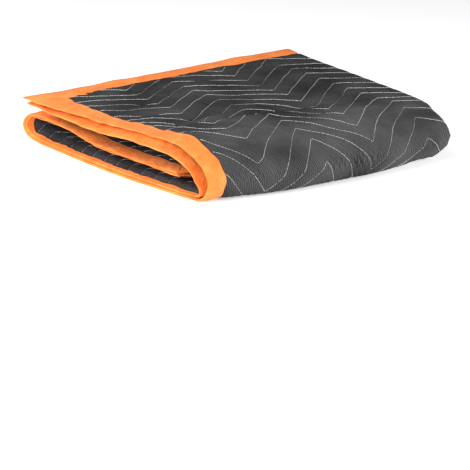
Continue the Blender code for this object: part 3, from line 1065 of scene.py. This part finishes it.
tape_cloth, shader = new_material("orange_tape", 0.65, 0.04, 0.22)
across_m, along_m = place_on(tape_cloth, "UV").split()
place = place_on(tape_cloth, "Object")
ribs = (along_m * THREADS_PER_METRE).wave() * 0.5 + (across_m * THREADS_PER_METRE).wave() * 0.5
worn = place.noise(35.0, 3.0)
fine = place.noise(1200.0, 1.0)
shade = 0.5 + (worn - 0.5) * 1.5 + (fine - 0.5) * 0.3 + ribs * 0.06
feed(shader, "Base Color", shade.between(TAPE_DEEP, TAPE_BRIGHT))
creased = place.noise(160.0, 3.0)
bump = ribs.node("ShaderNodeBump", {}, Strength=0.3, Distance=0.0003, Height=ribs)
soft = ribs.node("ShaderNodeBump", {}, Strength=0.9, Distance=0.0028, Height=creased, Normal=bump)
feed(shader, "Normal", soft)
for piece in tapes.values():
    piece.data.materials.clear()
    piece.data.materials.append(tape_cloth)
print("tape:", tape_cloth.name, "with", round(1000 / THREADS_PER_METRE, 2), "mm threads")

# %% [markdown]
# Thread
#
# The quilting thread is a light grey, a little glossy, with a twist that shows as fine
# change of tone. The topstitching is orange like the tape, a little lighter.

# %% Thread materials
TWIST_SCALE = 1500.0


def thread_material(name, dark, light):
    material, shader = new_material(name, 0.55, 0.0, 0.25)
    twist = place_on(material, "Object").noise(TWIST_SCALE, 1.0)
    feed(shader, "Base Color", twist.between(dark, light))
    return material


light_thread = thread_material("grey_thread", (0.42, 0.42, 0.43, 1.0), (0.72, 0.72, 0.73, 1.0))
tape_thread = thread_material("orange_thread", (0.95, 0.2, 0.03, 1.0), (1.0, 0.36, 0.1, 1.0))
for piece in (thread_out, thread_in):
    piece.data.materials.append(light_thread)
for piece in topstitches.values():
    piece.data.materials.append(tape_thread)
print("threads:", light_thread.name, "and", tape_thread.name)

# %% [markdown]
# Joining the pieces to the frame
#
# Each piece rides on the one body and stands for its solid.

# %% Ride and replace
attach(quilt, "root")
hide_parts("quilt")
STANDS_FOR = {
    "tape_outer_side": "binding_outer_side",
    "tape_inner_side": "binding_inner_side",
    "tape_free_end": "binding_free_end",
    "tape_tucked_end": "binding_tucked_end",
}
for name, piece in tapes.items():
    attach(piece, "root")
    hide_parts(STANDS_FOR[name])
    TAPES[name][0] * MM
for piece in (thread_out, thread_in):
    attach(piece, "root")
for piece in topstitches.values():
    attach(piece, "root")
print("pieces joined:", 3 + len(tapes) + len(topstitches))

# %% [markdown]
# Floor and light
#
# The pad lies on a wide pale floor that glows a little, like a lit white sweep. Four
# soft lights stand round it: one lights the open side, the strongest lights the roll
# from the front right, one stands behind on the left and a weak one hangs above. Pale
# surroundings soften the shadows.

# %% Floor
FLOOR_GLOW = 0.45

deselect_all()
bpy.ops.mesh.primitive_plane_add(size=30.0, location=(0.0, 0.0, -0.0005))
floor = bpy.context.active_object
floor.name = "studio_floor"
paint = bpy.data.materials.new("pale_floor")
paint.use_nodes = True
paint_shader = paint.node_tree.nodes["Principled BSDF"]
paint_shader.inputs["Base Color"].default_value = (0.93, 0.93, 0.93, 1.0)
paint_shader.inputs["Roughness"].default_value = 0.8
paint_shader.inputs["Emission Color"].default_value = (1.0, 1.0, 1.0, 1.0)
paint_shader.inputs["Emission Strength"].default_value = FLOOR_GLOW
floor.data.materials.append(paint)
print("floor glows with strength", FLOOR_GLOW)

# %% Light
PAD_MIDDLE = (0.0, 0.0, 0.05)
SURROUNDINGS = 0.2
# place in metres, power in watts, width in metres
LIGHTS = {
    "side_light": ((-1.5, -0.5, 0.68), 22.0, 0.7),
    "right_light": ((1.1, -1.6, 0.5), 36.0, 0.8),
    "left_light": ((-1.3, 0.8, 1.0), 17.0, 0.8),
    "top_light": ((-0.7, 0.3, 1.9), 10.0, 0.8),
}


def soft_light(name, place, power, size):
    light = bpy.data.lights.new(name, "AREA")
    light.energy = power
    light.shape = "DISK"
    light.size = size
    lamp = bpy.data.objects.new(name, light)
    lamp.location = place
    lamp.rotation_euler = (Vector(PAD_MIDDLE) - Vector(place)).to_track_quat("-Z", "Y").to_euler()
    bpy.context.scene.collection.objects.link(lamp)
    return lamp


lamps = [soft_light(name, *facts) for name, facts in LIGHTS.items()]
world = bpy.data.worlds.new("studio")
world.use_nodes = True
world.node_tree.nodes["Background"].inputs["Color"].default_value = (1.0, 1.0, 1.0, 1.0)
world.node_tree.nodes["Background"].inputs["Strength"].default_value = SURROUNDINGS
bpy.context.scene.world = world
bpy.context.scene.view_settings.view_transform = "Standard"
print("lights:", [lamp.name for lamp in lamps])

# %% [markdown]
# Camera
#
# The photo was taken with a long lens, from the front left and a little above. The
# lens, the angles and the distance were found from points that can be placed on the
# fold, such as the near corner, the zigzag columns and the ends of the roll.

# %% Camera
FOCAL_PIXELS = 3519.0
AZIMUTH = 35.8
PITCH = 16.2
MM_PER_PIXEL = 1.775
CORNER_PIXEL = (213.0, 205.0)
SENSOR_WIDTH = 36.0

turn, dip = math.radians(AZIMUTH), math.radians(PITCH)
forward = Vector((math.sin(turn) * math.cos(dip), math.cos(turn) * math.cos(dip), -math.sin(dip)))
right = Vector((math.cos(turn), -math.sin(turn), 0.0))
above = right.cross(forward)
half = PHOTO_SIZE / 2
to_corner = (
    forward
    + right * ((CORNER_PIXEL[0] - half) / FOCAL_PIXELS)
    + above * ((half - CORNER_PIXEL[1]) / FOCAL_PIXELS)
)
near_corner = Vector((-MIDDLE[0], -MIDDLE[1], 0.0)) * MM
eye = near_corner - to_corner * (FOCAL_PIXELS * MM_PER_PIXEL * MM)
camera_data = bpy.data.cameras.new("photo_camera")
camera_data.sensor_width = SENSOR_WIDTH
camera_data.lens = SENSOR_WIDTH * FOCAL_PIXELS / PHOTO_SIZE
camera_data.clip_end = 100.0
camera = bpy.data.objects.new("photo_camera", camera_data)
camera.location = eye
camera.rotation_euler = forward.to_track_quat("-Z", "Y").to_euler()
bpy.context.scene.collection.objects.link(camera)
bpy.context.scene.camera = camera
print("camera at", [round(c, 2) for c in eye], "m, lens", round(camera_data.lens), "mm")
